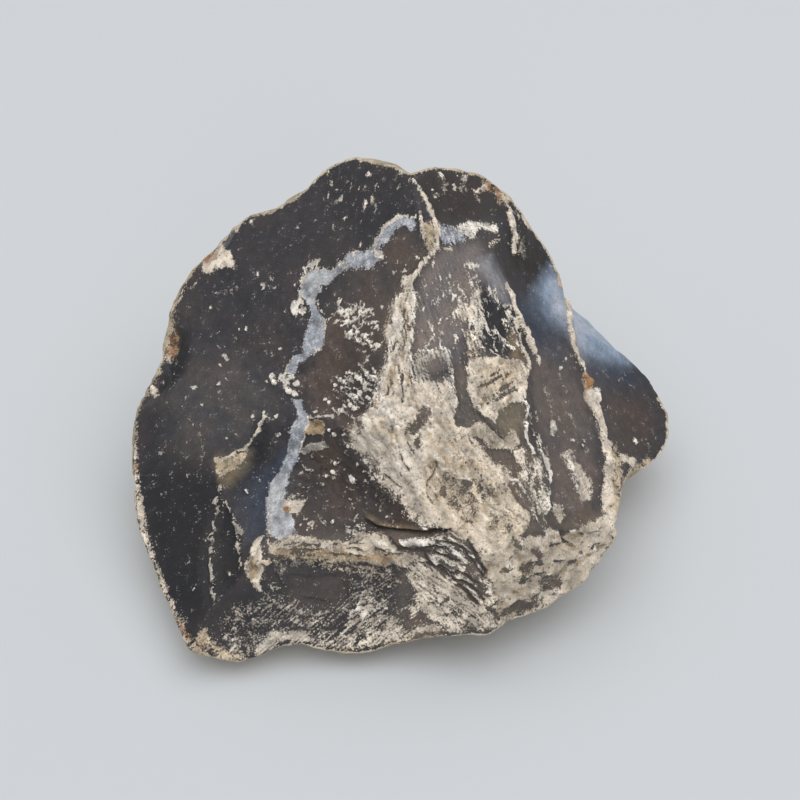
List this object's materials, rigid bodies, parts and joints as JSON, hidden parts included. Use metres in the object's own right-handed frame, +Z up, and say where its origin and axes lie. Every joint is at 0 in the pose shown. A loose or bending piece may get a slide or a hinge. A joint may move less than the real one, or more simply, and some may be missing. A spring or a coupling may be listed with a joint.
{
  "type": "flint nodule",
  "caption": "Broken nodule of black flint: overlapping shallow flake scars meet in sharp ridges on the front and top, with a smooth chalky rind on the back and underside.",
  "frame": {"origin": "on the surface it rests on, under the middle of its footprint's bounding box", "axes": "+Z up as it rests; +X along its longest side, towards the low dark lobe; -Y towards the broken front face, +Y towards the rounded rind at the back"},
  "size_m": [0.1259, 0.1111, 0.0732],
  "materials": {
    "flint": "satin"
  },
  "bodies": {
    "root": {"flint_nodule": "flint"}
  },
  "joints": []
}
